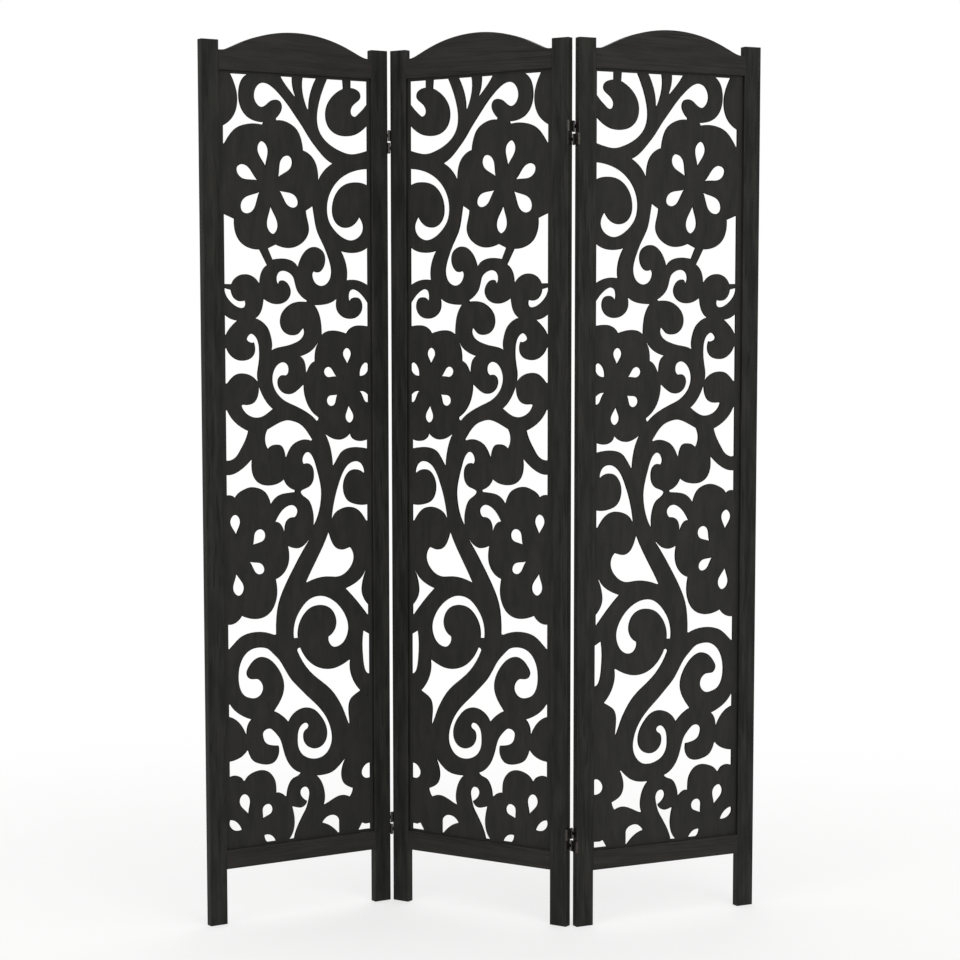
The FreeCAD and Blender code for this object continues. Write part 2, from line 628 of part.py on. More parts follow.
def dowel(level):
    start = FreeCAD.Vector(rail_start - dowel_length / 2, middle_depth, level)
    peg = Part.makeCylinder(dowel_diameter / 2, dowel_length, start, along_x)
    rims = [edge for edge in peg.Edges if edge.isClosed()]
    return peg.makeChamfer(dowel_chamfer, rims)


def dowel_hole(level):
    reach = dowel_length / 2 + dowel_end_gap
    start = FreeCAD.Vector(rail_start - reach, middle_depth, level)
    return Part.makeCylinder(dowel_diameter / 2 + dowel_clearance, 2 * reach, start, along_x)


def panel_dowels():
    near = [dowel(level) for level in dowel_levels]
    return Part.makeCompound(near + [far_side(peg) for peg in near])


# Screws of the hinge leaves, made pointing up with the head at the bottom

def screw():
    tip_start = screw_length - screw_tip_length
    body = spun(((0, 0), (screw_head_radius, 0), (screw_shank_radius, screw_head_height),
                 (screw_shank_radius, tip_start), (0, screw_length), (0, 0)))
    half_long = screw_recess_length / 2
    half_wide = screw_recess_width / 2
    slot = block(-half_long, half_long, -half_wide, half_wide, -overrun, screw_recess_depth)
    return body.cut([slot, turned(slot, origin, along_z, 90)])


def screw_space():
    head = screw_head_radius + screw_clearance
    shank = screw_shank_radius + screw_clearance
    depth = screw_length + screw_clearance
    return spun(((0, -overrun), (head, -overrun), (head, 0), (shank, screw_head_height), (shank, depth),
                 (0, depth), (0, -overrun)))


def screw_place(level):
    # Driven into the near stile's outer edge, with the head flush in the leaf
    head_spot = FreeCAD.Vector(0, middle_depth, level)
    return FreeCAD.Placement(head_spot, FreeCAD.Rotation(along_z, along_x))


def screw_levels(hinge_levels):
    lift = (half_gap + half_height) / 2
    return [level + step * lift for level in hinge_levels for step in (-1, 1)]


def panel_screws(near_hinges, far_hinges):
    near = [placed(screw(), screw_place(level)) for level in screw_levels(near_hinges)]
    far = [far_side(placed(screw(), screw_place(level))) for level in screw_levels(far_hinges)]
    return Part.makeCompound(near + far)


# Stiles and rails

def near_stile(hinge_levels):
    bar = block(0, stile_width, 0, frame_thickness, 0, stile_height)
    bar = bar.makeFillet(edge_ease, bar.Edges)
    groove = block(stile_width - groove_depth, stile_width + overrun,
                   groove_front, groove_back, groove_low, groove_high)
    holes = [dowel_hole(level) for level in dowel_levels]
    pilots = [placed(screw_space(), screw_place(level)) for level in screw_levels(hinge_levels)]
    half_seat = hinge_height / 2 + leaf_clearance
    seats = [block(-overrun, leaf_thickness, -overrun, frame_thickness + overrun, level - half_seat,
                   level + half_seat) for level in hinge_levels]
    return bar.cut([groove] + holes + pilots + seats)


def rail_cuts(low, high):
    groove = block(rail_start - overrun, rail_end + overrun, groove_front, groove_back, low, high)
    holes = [dowel_hole(level) for level in dowel_levels]
    return [groove] + holes + [far_side(hole) for hole in holes]


def bottom_rail():
    bar = block(rail_start, rail_end, 0, frame_thickness, leg_height, bottom_rail_top)
    rims = [edge for edge in bar.Edges if runs_along(edge, along_x)]
    bar = bar.makeFillet(edge_ease, rims)
    return bar.cut(rail_cuts(groove_low, bottom_rail_top + overrun))


def front_spot(x, z):
    return FreeCAD.Vector(x, 0, z)


def arch_edges(near_foot, far_foot):
    # Each side is an ogee: a hollow foot, a straight slope and half of the crown. It leaves and reaches
    # level lines, so the rise, the run and the straight length set the slope.
    crest = front_spot((near_foot + far_foot) / 2, crest_level)
    slope = 2 * math.atan(arch_rise / (crest.x - near_foot + arch_straight_length))
    hollow = [(arch_hollow_radius * math.sin(angle), arch_hollow_radius * (1 - math.cos(angle)))
              for angle in (0, slope / 2, slope)]
    hollow_run, hollow_rise = hollow[-1]
    bend = (hollow_run + arch_straight_length * math.cos(slope),
            hollow_rise + arch_straight_length * math.sin(slope))
    near = [front_spot(near_foot + run, shoulder_level + rise) for run, rise in hollow + [bend]]
    far = [front_spot(far_foot - run, shoulder_level + rise) for run, rise in [bend] + hollow[::-1]]
    crown = Part.Arc(near[-1], crest, far[0])
    return [Part.Arc(*near[:3]).toShape(), Part.makeLine(*near[2:]), crown.toShape(),
            Part.makeLine(*far[:2]), Part.Arc(*far[1:]).toShape()]


def top_rail():
    near_foot = rail_start + shoulder_length
    far_foot = rail_end - shoulder_length
    near_side = [front_spot(rail_end, shoulder_level), front_spot(rail_end, top_rail_bottom),
                 front_spot(rail_start, top_rail_bottom), front_spot(rail_start, shoulder_level)]
    corners = [front_spot(far_foot, shoulder_level)] + near_side + [front_spot(near_foot, shoulder_level)]
    outline = Part.Wire(arch_edges(near_foot, far_foot) + Part.makePolygon(corners).Edges)
    bar = Part.Face(outline).extrude(FreeCAD.Vector(0, frame_thickness, 0))
    rims = [edge for edge in bar.Edges
            if not runs_along(edge, along_y) and not runs_along(edge, along_z)]
    bar = bar.makeFillet(edge_ease, rims)
    return bar.cut(rail_cuts(top_rail_bottom - overrun, groove_high))


# Fretwork board

def window_spot(band, shares):
    across_share, down_share = shares
    x = window_near + across_share * window_width
    z = window_top - (band + down_share) * band_height
    return FreeCAD.Vector(x, board_setback, z)


def smooth_edges(points):
    if len(points) == 2:
        return [Part.makeLine(points[0], points[1])]
    # A long curve is cut at some of its points, because shorter edges are measured more exactly
    curve = Part.BSplineCurve()
    curve.interpolate(points)
    knots = curve.getKnots()
    cuts = knots[:-1:edge_point_count] + knots[-1:]
    return [curve.toShape(start, end) for start, end in zip(cuts, cuts[1:])]


def petal_outline(band, tip_shares, crown_shares, half_width_share):
    tip = window_spot(band, tip_shares)
    length = window_spot(band, crown_shares) - tip
    half_width = along_y.cross(length).normalize() * (half_width_share * window_width)
    points = [tip + length * along_share + half_width * aside_share
              for along_share, aside_share in teardrop_shares]
    return Part.Wire(smooth_edges(points))


def scroll_outline(band, stretches):
    edges = []
    last = []
    for stretch_shares in stretches:
        points = last + [window_spot(band, shares) for shares in stretch_shares]
        edges += smooth_edges(points)
        last = points[-1:]
    return Part.Wire(edges)


def fretwork_board():
    near = stile_width - groove_depth + board_edge_gap
    far = panel_width - near
    low = groove_low + board_edge_gap
    high = groove_high - board_edge_gap
    corners = [FreeCAD.Vector(x, board_setback, z)
               for x, z in ((near, low), (far, low), (far, high), (near, high), (near, low))]
    holes = [petal_outline(*petal) for petal in petal_shares]
    holes += [scroll_outline(*scroll) for scroll in scroll_shares]
    sheet = Part.makeFace([Part.makePolygon(corners)] + holes, "Part::FaceMakerBullseye")
    return sheet.extrude(FreeCAD.Vector(0, board_thickness, 0))


def turned_round(board):
    centre = FreeCAD.Vector(panel_width / 2, board_setback + board_thickness / 2, 0)
    return turned(board, centre, along_z, 180)


# Double-action hinge, made as if the two panels lay flat in line: their edges stand pin_offset to
# each side of x = 0, their front faces are at y = 0, and the middle of the hinge is at z = 0.
# Two leaves alike carry two links alike, one in the upper half and one in the lower half.

def knuckle_span(third):
    low = half_gap / 2 + third * knuckle_pitch + knuckle_gap / 2
    return low, low + knuckle_pitch - knuckle_gap


def upright(radius, axis, low, high):
    return Part.makeCylinder(radius, high - low, FreeCAD.Vector(0, axis, low))


def other_half(shape):
    # Half a turn about the hinge's own depth swaps the sides and the halves
    return turned(shape, origin, along_y, 180)


def right_knuckle():
    # Round the back pin of the upper half
    low, high = knuckle_span(1)
    arm_front = back_axis - leaf_thickness / 2
    arm_back = back_axis + leaf_thickness / 2
    plate_back = frame_thickness - leaf_inset
    leaf_depth = pin_offset + leaf_thickness
    ear = block(pin_offset, leaf_depth, plate_back - leaf_thickness, arm_back, low, high)
    arm = block(0, leaf_depth, arm_front, arm_back, low, high)
    knuckle = ear.fuse([arm, upright(barrel_radius, back_axis, low, high)])
    return knuckle.cut(upright(pin_radius + pin_clearance, back_axis, low - overrun, high + overrun))


def right_leaf():
    plate = block(pin_offset, pin_offset + leaf_thickness, leaf_inset, frame_thickness - leaf_inset,
                  -hinge_height / 2, hinge_height / 2)
    plate = plate.makeFillet(leaf_corner, [edge for edge in plate.Edges if runs_along(edge, along_x)])
    back_knuckle = right_knuckle()
    front_knuckle = turned(back_knuckle, FreeCAD.Vector(0, middle_depth, 0), along_x, 180)
    leaf = plate.fuse([back_knuckle, front_knuckle])
    on_leaf = shift(pin_offset, 0, 0)
    holes = [placed(screw_space(), on_leaf.multiply(screw_place(level))) for level in screw_levels([0])]
    return leaf.cut(holes).removeSplitter()


def top_link():
    low = knuckle_span(0)[0]
    high = knuckle_span(2)[1]
    plate = block(-link_thickness / 2, link_thickness / 2, front_axis, back_axis, low, high)
    axes = (front_axis, back_axis)
    barrels = [upright(barrel_radius, axis, *knuckle_span(third)) for axis in axes for third in (0, 2)]
    notch_low = knuckle_span(0)[1]
    notch_high = knuckle_span(2)[0]
    notches = [upright(barrel_radius + barrel_clearance, axis, notch_low, notch_high) for axis in axes]
    bores = [upright(pin_radius, axis, low - overrun, high + overrun) for axis in axes]
    return plate.fuse(barrels).cut(notches + bores)


def top_link_pins():
    low = knuckle_span(0)[0] - pin_proud
    high = knuckle_span(2)[1] + pin_proud
    pins = []
    for axis in (front_axis, back_axis):
        pin = upright(pin_radius, axis, low, high)
        rims = [edge for edge in pin.Edges if edge.isClosed()]
        pins.append(pin.makeFillet(pin_proud / 2, rims))
    return Part.makeCompound(pins)


# Where the panels stand: the left fold turns on its front pins, the right fold on its back pins

def folded_place(parent_place, parent_pin, own_pin, angle):
    turn = FreeCAD.Placement(parent_pin, FreeCAD.Rotation(along_z, angle))
    return parent_place.multiply(turn).multiply(shift(-own_pin.x, -own_pin.y, 0))


near_hinge_x = -pin_offset
far_hinge_x = panel_width + pin_offset
middle_place = FreeCAD.Placement(origin, FreeCAD.Rotation(along_z, middle_turn))
left_place = folded_place(middle_place, FreeCAD.Vector(near_hinge_x, front_axis, 0),
                          FreeCAD.Vector(far_hinge_x, front_axis, 0), left_fold_angle)
right_place = folded_place(middle_place, FreeCAD.Vector(far_hinge_x, back_axis, 0),
                           FreeCAD.Vector(near_hinge_x, back_axis, 0), right_fold_angle)

left_levels = list(fold_hinges["left_fold"].values())
right_levels = list(fold_hinges["right_fold"].values())
board = fretwork_board()
panels = {
    "left_panel": (left_place, [], left_levels, turned_round(board)),
    "middle_panel": (middle_place, left_levels, right_levels, board),
    "right_panel": (right_place, right_levels, [], board),
}

nodes = {}
for panel, (place, near_hinges, far_hinges, panel_board) in panels.items():
    pieces = {
        "left_stile": near_stile(near_hinges),
        "right_stile": far_side(near_stile(far_hinges)),
        "top_rail": top_rail(),
        "bottom_rail": bottom_rail(),
        "fretwork": panel_board,
        "dowels": panel_dowels(),
        "hinge_screws": panel_screws(near_hinges, far_hinges),
    }
    for piece, shape in pieces.items():
        nodes[f"{panel}_{piece}"] = placed(shape, place)

# On its front pins a fold keeps the top links with the right-hand panel, and on its back pins with the
# left-hand panel. The bottom links stay with the other one.
leaf_shape = right_leaf()
link_shape = top_link()
pins_shape = top_link_pins()
folds = {
    "left_fold": (left_place, middle_place, True),
    "right_fold": (middle_place, right_place, False),
}
for fold, (left_hand, right_hand, on_front_pins) in folds.items():
    for height, level in fold_hinges[fold].items():
        left_seat = left_hand.multiply(shift(far_hinge_x, 0, level))
        right_seat = right_hand.multiply(shift(near_hinge_x, 0, level))
        top_seat = right_seat if on_front_pins else left_seat
        bottom_seat = left_seat if on_front_pins else right_seat
        hinge = f"{fold}_{height}_hinge"
        nodes[f"{hinge}_left_leaf"] = placed(other_half(leaf_shape), left_seat)
        nodes[f"{hinge}_right_leaf"] = placed(leaf_shape, right_seat)
        nodes[f"{hinge}_top_link"] = placed(link_shape, top_seat)
        nodes[f"{hinge}_top_link_pins"] = placed(pins_shape, top_seat)
        nodes[f"{hinge}_bottom_link"] = placed(other_half(link_shape), bottom_seat)
        nodes[f"{hinge}_bottom_link_pins"] = placed(other_half(pins_shape), bottom_seat)

# The origin is on the floor, at the middle of the standing screen
outside = Part.makeCompound([shape for name, shape in nodes.items() if not name.endswith("fretwork")])
box = outside.optimalBoundingBox(False, False)
to_origin = shift(-box.Center.x, -box.Center.y, -box.ZMin)

os.makedirs("parts", exist_ok=True)
for name, shape in nodes.items():
    placed(shape, to_origin).exportStep(f"parts/{name}.step")
print(f"{len(nodes)} nodes, {box.XLength:.1f} x {box.YLength:.1f} x {box.ZLength:.1f} mm")
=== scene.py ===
# %% [markdown]
# # A black folding screen of three fretwork panels
# The screen stands in a zigzag on the cut ends of its stiles. Each panel is a solid wood frame with an
# arched top rail, and a thin board pierced with flowers and scrolls sits in its groove. Every piece has
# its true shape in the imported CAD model, cut-outs, dowels and hinge pins included, so nothing has to be
# modelled again. This lesson gives each piece the finish of the real one and sets up the studio.

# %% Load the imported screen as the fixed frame
import math
import bmesh
import bpy
from mathutils import Matrix, Vector


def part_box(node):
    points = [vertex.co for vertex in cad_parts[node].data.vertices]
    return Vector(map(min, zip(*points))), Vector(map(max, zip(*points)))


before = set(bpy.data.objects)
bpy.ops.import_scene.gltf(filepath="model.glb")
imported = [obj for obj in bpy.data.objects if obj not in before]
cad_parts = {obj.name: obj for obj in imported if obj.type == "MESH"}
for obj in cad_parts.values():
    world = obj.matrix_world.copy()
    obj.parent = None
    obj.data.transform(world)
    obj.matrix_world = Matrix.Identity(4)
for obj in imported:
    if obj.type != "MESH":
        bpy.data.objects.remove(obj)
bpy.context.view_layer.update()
MM = 0.001
UP = Vector((0, 0, 1))

# %% [markdown]
# ## How each panel stands
# Wood is cut so that its grain runs along the piece: up a stile, and across on a rail. The panels stand
# turned, so a grain that ran along the world's X axis would cross a rail at a slant. The turn could be
# typed in, but measuring it from the stiles keeps the grain true if the screen is stood another way.

# %% Measure the panels' directions from their stiles
def middle_of(node_name):
    """The middle of a node's box."""
    low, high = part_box(node_name)
    return (low + high) / 2


panel_along = {}
for side in ("left", "middle", "right"):
    run = middle_of(f"{side}_panel_right_stile") - middle_of(f"{side}_panel_left_stile")
    panel_along[side] = Vector((run.x, run.y, 0)).normalized()
    turn = math.degrees(math.atan2(run.y, run.x))
    print(f"{side} panel is turned {turn:.1f} degrees")

# %% [markdown]
# ## Three tools for every finish
# Colours are given as sRGB hex values, but the renderer counts light, so one function turns them
# to linear values. A second one adds a shader node, sets it up and links it, so that each finish below
# reads as a list of layers and not as a page of links. A third one starts an empty material.

# %% Colour, node and material helpers
# The sockets of a Mix node share their names with others, so they are taken by number.
MIX_SHARE, MIX_FROM, MIX_TO, MIX_RESULT = 0, 6, 7, 2


def colour(hex_value):
    """Linear RGBA of an sRGB hex colour."""
    parts = [int(hex_value[i:i + 2], 16) / 255 for i in (1, 3, 5)]
    # The standard's own curve: straight near black, and a power of 2.4 above
    return (*[p / 12.92 if p <= 0.04045 else ((p + 0.055) / 1.055) ** 2.4 for p in parts], 1.0)


def add(tree, kind, sockets, **settings):
    """Add a node. A socket's value is a constant, or another node's output to link."""
    node = tree.nodes.new(kind)
    for name, value in settings.items():
        setattr(node, name, value)
    for name, value in sockets.items():
        if isinstance(value, bpy.types.NodeSocket):
            tree.links.new(value, node.inputs[name])
        else:
            node.inputs[name].default_value = value
    return node


def start_material(name):
    """An empty material and its node tree."""
    material = bpy.data.materials.new(name)
    material.use_nodes = True
    material.node_tree.nodes.clear()
    return material, material.node_tree


print("half-way grey #808080 in linear light:", round(colour("#808080")[0], 4))

# %% [markdown]
# ## Edges: thin stain and a painted highlight
# On a stained frame the sanded edges hold less colour, and an eased edge catches the light, so a paler
# line is painted along each of them: partly the thinner stain, partly a painted highlight. The
# edge could be painted by hand, or found from mesh curvature, but the imported meshes are loose triangles
# that have none. The Bevel node works on them: it blends the normals within a small radius. Held against
# the panel's front, the blended normal agrees with it on a face, lies across it on an edge face, and is
# between the two only where they meet.

# %% Edge tools shared by the wood finishes
bevel_samples = 6


def blended_normal(tree, radius_mm):
    """The surface normal, blended across edges within a small radius."""
    bevel = add(tree, "ShaderNodeBevel", {"Radius": radius_mm * MM}, samples=bevel_samples)
    return bevel.outputs["Normal"]


def facing_share(tree, normal, front):
    """1 where a normal points to the panel's front or back, and 0 where it lies across."""
    # Normals come in world directions; in the piece's own ones the mask turns with a folding panel.
    own = add(tree, "ShaderNodeVectorTransform", {"Vector": normal}, vector_type="NORMAL",
              convert_from="WORLD", convert_to="OBJECT").outputs["Vector"]
    towards = add(tree, "ShaderNodeVectorMath", {0: own, 1: front},
                  operation="DOT_PRODUCT").outputs["Value"]
    return add(tree, "ShaderNodeMath", {0: towards, 1: towards}, operation="MULTIPLY").outputs["Value"]


def edge_share(tree, normal, front):
    """1 where a blended normal lies half way between a face and its edge face, and 0 on both."""
    facing = facing_share(tree, normal, front)
    across = add(tree, "ShaderNodeMath", {0: 1, 1: facing}, operation="SUBTRACT").outputs["Value"]
    between = add(tree, "ShaderNodeMath", {0: facing, 1: across}, operation="MULTIPLY").outputs["Value"]
    # The product of the two is a quarter at its most, half way between them.
    return add(tree, "ShaderNodeMapRange", {"Value": between, "From Min": 0.04,
                                            "From Max": 0.25}).outputs["Result"]


print("edge tools ready, with", bevel_samples, "samples for a blended normal")

# %% [markdown]
# ## Black-stained wood of the frames
# The stiles and rails are planed softwood, stained black and sealed with a thin satin lacquer. Under the
# stain the grain still shows: soft growth bands, cloudy patches where the stain took more or less, and
# dark streaks of open grain, short and blotchy up a stile, long and thin along a rail. An image of wood
# would do it, but a pattern of stretched noise fits any piece and turns with it. Each noise is stretched
# by real sizes: the Mapping node's Texture type divides by its scale, so the scale is simply how long and
# how wide one streak is.

# %% Noise stretched along the grain
# Sizes in millimetres, along and across the grain
growth_band = (380, 9)
stain_cloud = (85, 15)
# Real fibres are about 0.3 mm wide; they are drawn coarse enough to show in the render.
fibre = (34, 1.7)
# Most of a noise's values lie between the wide ends. The narrow ends part two tones more sharply.
wide_ends, narrow_ends = (0.3, 0.7), (0.35, 0.65)
noise_span = {"From Min": wide_ends[0], "From Max": wide_ends[1]}


def stretched_noise(tree, axes, size_mm, detail, bend=0):
    """Noise whose patches are as long and as wide as the given size, turned to the grain."""
    place = add(tree, "ShaderNodeTexCoord", {}).outputs["Object"]
    length, width = (size * MM for size in size_mm)
    laid = add(tree, "ShaderNodeMapping", {"Vector": place, "Rotation": axes,
                                           "Scale": (length, width, width)}, vector_type="TEXTURE")
    return add(tree, "ShaderNodeTexNoise", {"Vector": laid.outputs["Vector"], "Scale": 1,
                                            "Detail": detail, "Distortion": bend}).outputs["Fac"]


def grain_axes(grain, across):
    """The turn that lays the X axis along the grain."""
    return Matrix((grain, across, grain.cross(across))).transposed().to_euler()


print("growth bands", growth_band, "clouds", stain_cloud, "fibres", fibre)

# %% Bands and clouds of the stain
bare_wood = "#302B27"
# Where a cloud starts to count and where it counts in full
thin_stain = {"From Min": 0.5, "From Max": 0.72}
thick_stain = {"From Min": 0.6, "From Max": 0.3}
palest_cloud = 1.1


def clouded_stain(tree, axes, tones, warmth, darkest):
    """The stain's colour, in growth bands and in clouds where the wood took more or less of it."""
    # Early and late wood take the stain a little differently.
    banded = add(tree, "ShaderNodeValToRGB", {"Fac": stretched_noise(tree, axes, growth_band, 3, 0.8)})
    for element, share, tone in zip(banded.color_ramp.elements, narrow_ends, tones):
        element.position, element.color = share, colour(tone)
    # Thin stain lets the red-brown of the bare wood through, and thick stain hides it.
    clouds = stretched_noise(tree, axes, stain_cloud, 2)
    thin = add(tree, "ShaderNodeMapRange", {"Value": clouds, **thin_stain, "To Max": warmth})
    warm = add(tree, "ShaderNodeMix", {MIX_SHARE: thin.outputs["Result"],
                                       MIX_FROM: banded.outputs["Color"],
                                       MIX_TO: colour(bare_wood)}, data_type="RGBA")
    thick = add(tree, "ShaderNodeMapRange", {"Value": clouds, **thick_stain, "To Min": palest_cloud,
                                             "To Max": darkest})
    return add(tree, "ShaderNodeVectorMath", {0: warm.outputs[MIX_RESULT],
                                              "Scale": thick.outputs["Result"]},
               operation="SCALE").outputs["Vector"]


print("bare wood", bare_wood, "shows through thin stain")

# %% The stained wood finish
edge_radius = 1.6
# The paler edge colour is partly thinner stain on sanded edges and partly a painted highlight where eased
# edges catch the light.
open_grain, wear_and_highlight_tone = "#0B0B0A", "#32312E"
# A thin lacquer on a stain shines less than a thick coat.
thin_lacquer = {"IOR": 1.5, "Specular IOR Level": 0.14}


def stained_wood(name, front, axes, tones, streak, warmth, darkest):
    """Solid wood with a black stain and satin lacquer."""
    material, tree = start_material(name)
    clouded = clouded_stain(tree, axes, tones, warmth, darkest)
    # Fibres: fine light and dark threads along the grain.
    fibres = stretched_noise(tree, axes, fibre, 2, 0.3)
    thread = add(tree, "ShaderNodeMapRange", {"Value": fibres, **noise_span,
                                              "To Min": 0.91, "To Max": 1.09})
    fibred = add(tree, "ShaderNodeVectorMath", {0: clouded, "Scale": thread.outputs["Result"]},
                 operation="SCALE")
    # Dark streaks: open grain that holds more stain.
    streaks = stretched_noise(tree, axes, streak, 2, 0.4)
    opened = add(tree, "ShaderNodeMapRange", {"Value": streaks, "From Min": 0.56, "From Max": 0.66,
                                              "To Max": 0.65}).outputs["Result"]
    streaked = add(tree, "ShaderNodeMix", {MIX_SHARE: opened, MIX_FROM: fibred.outputs["Vector"],
                                           MIX_TO: colour(open_grain)}, data_type="RGBA")
    # Sanded edges and painted highlight: a paler line for the thin stain and for the light an eased edge
    # catches, which the fibres break up.
    normal = blended_normal(tree, edge_radius)
    wear_and_highlight_share = add(tree, "ShaderNodeMath", {0: edge_share(tree, normal, front), 1: fibres},
                 operation="MULTIPLY")
    wear_and_highlight_mix = add(tree, "ShaderNodeMix", {MIX_SHARE: wear_and_highlight_share.outputs["Value"],
                                       MIX_FROM: streaked.outputs[MIX_RESULT],
                                       MIX_TO: colour(wear_and_highlight_tone)}, data_type="RGBA")
    gloss = add(tree, "ShaderNodeMapRange", {"Value": fibres, **noise_span,
                                             "To Min": 0.66, "To Max": 0.56})
    height = add(tree, "ShaderNodeMath", {0: fibres, 1: opened}, operation="SUBTRACT")
    relief = add(tree, "ShaderNodeBump", {"Height": height.outputs["Value"], "Strength": 0.18,
                                          "Distance": 0.25 * MM, "Normal": normal})
    surface = add(tree, "ShaderNodeBsdfPrincipled", {
        "Base Color": wear_and_highlight_mix.outputs[MIX_RESULT], "Roughness": gloss.outputs["Result"],
        "Normal": relief.outputs["Normal"], **thin_lacquer})
    add(tree, "ShaderNodeOutputMaterial", {"Surface": surface.outputs["BSDF"]})
    return material


print("stained wood finish ready, with edges", edge_radius, "mm wide")

# %% Stained wood for each panel
# Tones of the stain, size of a dark streak, how much bare wood shows, and how dark the darkest cloud is
stile_look = {"tones": ("#1C1D1A", "#242421"), "streak": (75, 5), "warmth": 0.2, "darkest": 0.6}
rail_look = {"tones": ("#232220", "#272623"), "streak": (210, 1.7), "warmth": 0.25, "darkest": 0.84}
# No board is sawn dead true to its grain, so the streaks run off a little along each piece.
stile_slope, rail_slope = math.radians(-0.5), math.radians(-1.6)
stile_wood, rail_wood = {}, {}
for side, along in panel_along.items():
    front = along.cross(UP)
    grain = UP * math.cos(stile_slope) + along * math.sin(stile_slope)
    stile_wood[side] = stained_wood(f"black_stained_stile_{side}", front,
                                    grain_axes(grain, grain.cross(front)), **stile_look)
    grain = along * math.cos(rail_slope) + UP * math.sin(rail_slope)
    rail_wood[side] = stained_wood(f"black_stained_rail_{side}", front,
                                   grain_axes(grain, front.cross(grain)), **rail_look)
print("stained wood:", sorted(m.name for m in [*stile_wood.values(), *rail_wood.values()]))

# %% [markdown]
# ## Plywood of the fretwork
# The pierced board is thin plywood, cut by a router and stained black. Its face veneer is fine and even,
# so the board looks flatter than the frame: a faint mottle, faint upright threads, and a few short dark
# pores. The cut walls drink more stain and stay dark and matt, and that draws the thin dark outline round
# each flower and scroll. The outline could be modelled as trim, but it is only colour, so the edge tools
# above place it.

# %% The stained plywood finish
# Sizes in millimetres, along and across the veneer's upright grain. Real threads and pores are finer;
# they are drawn coarse enough to show in the render.
veneer_mottle = (60, 18)
veneer_thread = (45, 2.2)
veneer_pore = (24, 1.7)
board_edge_radius = 1.3
veneer_tones, dark_pore, cut_wall = ("#20201E", "#292826"), "#0C0C0B", "#131210"


def stained_plywood(name, along):
    """Router-cut thin plywood with a matt black stain."""
    material, tree = start_material(name)
    front = along.cross(UP)
    axes = grain_axes(UP, UP.cross(front))
    mottled = add(tree, "ShaderNodeValToRGB", {"Fac": stretched_noise(tree, axes, veneer_mottle, 3, 0.5)})
    for element, share, tone in zip(mottled.color_ramp.elements, wide_ends, veneer_tones):
        element.position, element.color = share, colour(tone)
    threads = stretched_noise(tree, axes, veneer_thread, 2)
    thread = add(tree, "ShaderNodeMapRange", {"Value": threads, **noise_span,
                                              "To Min": 0.94, "To Max": 1.06})
    threaded = add(tree, "ShaderNodeVectorMath", {0: mottled.outputs["Color"],
                                                  "Scale": thread.outputs["Result"]}, operation="SCALE")
    pores = add(tree, "ShaderNodeMapRange", {"Value": stretched_noise(tree, axes, veneer_pore, 1),
                                             "From Min": 0.66, "From Max": 0.75, "To Max": 0.6})
    pored = add(tree, "ShaderNodeMix", {MIX_SHARE: pores.outputs["Result"],
                                        MIX_FROM: threaded.outputs["Vector"],
                                        MIX_TO: colour(dark_pore)}, data_type="RGBA")
    # Cut walls: there the blended normal turns away from the panel's front.
    facing = facing_share(tree, blended_normal(tree, board_edge_radius), front)
    wall = add(tree, "ShaderNodeMapRange", {"Value": facing, "From Min": 0.85, "From Max": 0.3})
    cut = add(tree, "ShaderNodeMix", {MIX_SHARE: wall.outputs["Result"],
                                      MIX_FROM: pored.outputs[MIX_RESULT],
                                      MIX_TO: colour(cut_wall)}, data_type="RGBA")
    gloss = add(tree, "ShaderNodeMapRange", {"Value": threads, **noise_span,
                                             "To Min": 0.68, "To Max": 0.62})
    matt = add(tree, "ShaderNodeMath", {0: gloss.outputs["Result"], 1: wall.outputs["Result"]},
               operation="MAXIMUM")
    relief = add(tree, "ShaderNodeBump", {"Height": threads, "Strength": 0.08, "Distance": 0.1 * MM})
    surface = add(tree, "ShaderNodeBsdfPrincipled", {
        "Base Color": cut.outputs[MIX_RESULT], "Roughness": matt.outputs["Value"],
        "Normal": relief.outputs["Normal"], **thin_lacquer})
    add(tree, "ShaderNodeOutputMaterial", {"Surface": surface.outputs["BSDF"]})
    return material


board_finish = {side: stained_plywood(f"stained_plywood_{side}", along)
                for side, along in panel_along.items()}
print("boards:", sorted(m.name for m in board_finish.values()))

# %% [markdown]
# ## Steel of the hinges
# The leaves and links are stamped steel with a bronze-black lacquer, the pins are drawn steel left dark,
# and the screws are black oxide. Bare metal would be a mirror of the white studio. The lacquer is thin
# and brown in the light, so the rolled barrels show a soft grey-brown line, as the real ones do.

# %% Hinge, pin and screw finishes
# The gloss wavers by this much to each side of its mean.
gloss_waver = 0.06


def dark_steel(name, tones, roughness, metallic, grit_mm):
    """Steel under a dark finish, mottled at the size of its grit."""
    material, tree = start_material(name)
    place = add(tree, "ShaderNodeTexCoord", {}).outputs["Object"]
    grit = add(tree, "ShaderNodeTexNoise", {"Vector": place, "Scale": 1 / (grit_mm * MM),
                                            "Detail": 2}).outputs["Fac"]
    toned = add(tree, "ShaderNodeValToRGB", {"Fac": grit})
    for element, share, tone in zip(toned.color_ramp.elements, wide_ends, tones):
        element.position, element.color = share, colour(tone)
    gloss = add(tree, "ShaderNodeMapRange", {"Value": grit, **noise_span,
                                             "To Min": roughness - gloss_waver,
                                             "To Max": roughness + gloss_waver})
    relief = add(tree, "ShaderNodeBump", {"Height": grit, "Strength": 0.15, "Distance": 0.05 * MM})
    surface = add(tree, "ShaderNodeBsdfPrincipled", {
        "Base Color": toned.outputs["Color"], "Roughness": gloss.outputs["Result"], "Metallic": metallic,
        "Normal": relief.outputs["Normal"]})
    add(tree, "ShaderNodeOutputMaterial", {"Surface": surface.outputs["BSDF"]})
    return material


